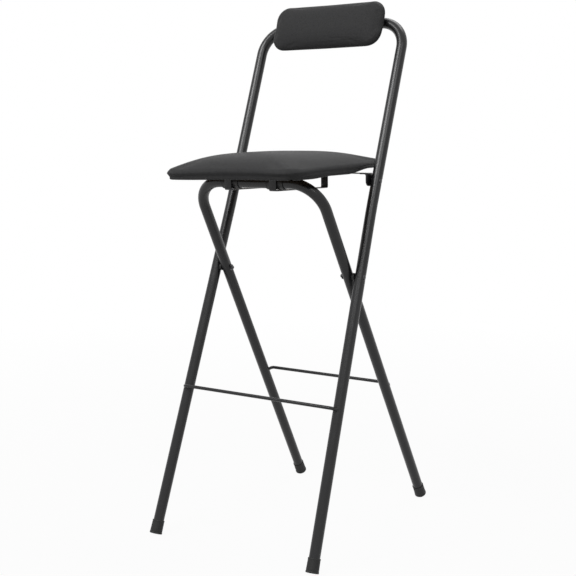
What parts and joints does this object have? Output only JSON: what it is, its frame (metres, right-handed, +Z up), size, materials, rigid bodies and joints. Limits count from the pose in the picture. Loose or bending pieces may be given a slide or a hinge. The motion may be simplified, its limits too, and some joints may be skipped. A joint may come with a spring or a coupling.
{
  "type": "folding bar stool",
  "caption": "Tall folding stool of crossed steel tube frames, with a padded seat that folds up between the uprights, a padded backrest and footrest rods.",
  "frame": {"origin": "on the floor, below the middle of the stool's footprint and its symmetry plane", "axes": "+X to the right of someone seen from the front, +Y towards the back of the stool (the sitter faces -Y), +Z up"},
  "size_m": [0.408, 0.5497, 1.1046],
  "materials": {
    "coated_steel": "satin black powder coat",
    "fixings": "blackened steel rivets, washers and screws",
    "foot_rubber": "matt black rubber",
    "black_plastic": "matt black",
    "vinyl": "fine-grained black vinyl",
    "foam": "open-cell upholstery foam",
    "plywood": "raw board"
  },
  "bodies": {
    "back_frame": {"back_frame_tube": "coated_steel", "front_footrest_rod": "coated_steel", "foot_cap_front_left": "foot_rubber", "foot_cap_front_right": "foot_rubber", "pivot_rivet_left": "fixings", "pivot_rivet_right": "fixings", "pivot_spacer_left": "black_plastic", "pivot_spacer_right": "black_plastic", "seat_hinge_rivet_left": "fixings", "seat_hinge_rivet_right": "fixings", "backrest_board": "plywood", "backrest_foam": "foam", "backrest_cover": "vinyl", "backrest_bolt_left": "fixings", "backrest_bolt_right": "fixings"},
    "rear_frame": {"rear_frame_tube": "coated_steel", "rear_footrest_rod": "coated_steel", "foot_cap_rear_left": "foot_rubber", "foot_cap_rear_right": "foot_rubber", "pivot_washer_left": "fixings", "pivot_washer_right": "fixings"},
    "glides": {"glide_sleeve_left": "black_plastic", "glide_sleeve_right": "black_plastic"},
    "seat": {"seat_board": "plywood", "seat_foam": "foam", "seat_cover": "vinyl", "seat_hinge_strap": "coated_steel", "slide_guide_left": "coated_steel", "slide_guide_right": "coated_steel", "seat_hinge_pin_end_left": "fixings", "seat_hinge_pin_end_right": "fixings", "hinge_strap_screw_left": "fixings", "hinge_strap_screw_right": "fixings", "guide_rear_screw_left": "fixings", "guide_rear_screw_right": "fixings", "guide_front_screw_left": "fixings", "guide_front_screw_right": "fixings"}
  },
  "joints": [
    {"name": "frame_fold", "type": "hinge", "parent": "back_frame", "child": "rear_frame", "pos_m": [0, -0.05966, 0.545], "axis": [-1, 0, 0], "range_deg": [0, 52.13]},
    {"name": "glide_turn", "type": "hinge", "parent": "rear_frame", "child": "glides", "pos_m": [0, -0.17187, 0.73249], "axis": [-1, 0, 0], "range_deg": [0, 59.49]},
    {"name": "seat_slide", "type": "slide", "parent": "glides", "child": "seat", "axis": [0, -0.9998, -0.0196], "range_m": [0, 0.16511]}
  ],
  "couplings": [
    {"joint": "glide_turn", "follows": "frame_fold", "ratio": 1.1411},
    {"joint": "seat_slide", "follows": "frame_fold", "m_per_rad": 0.18144}
  ]
}
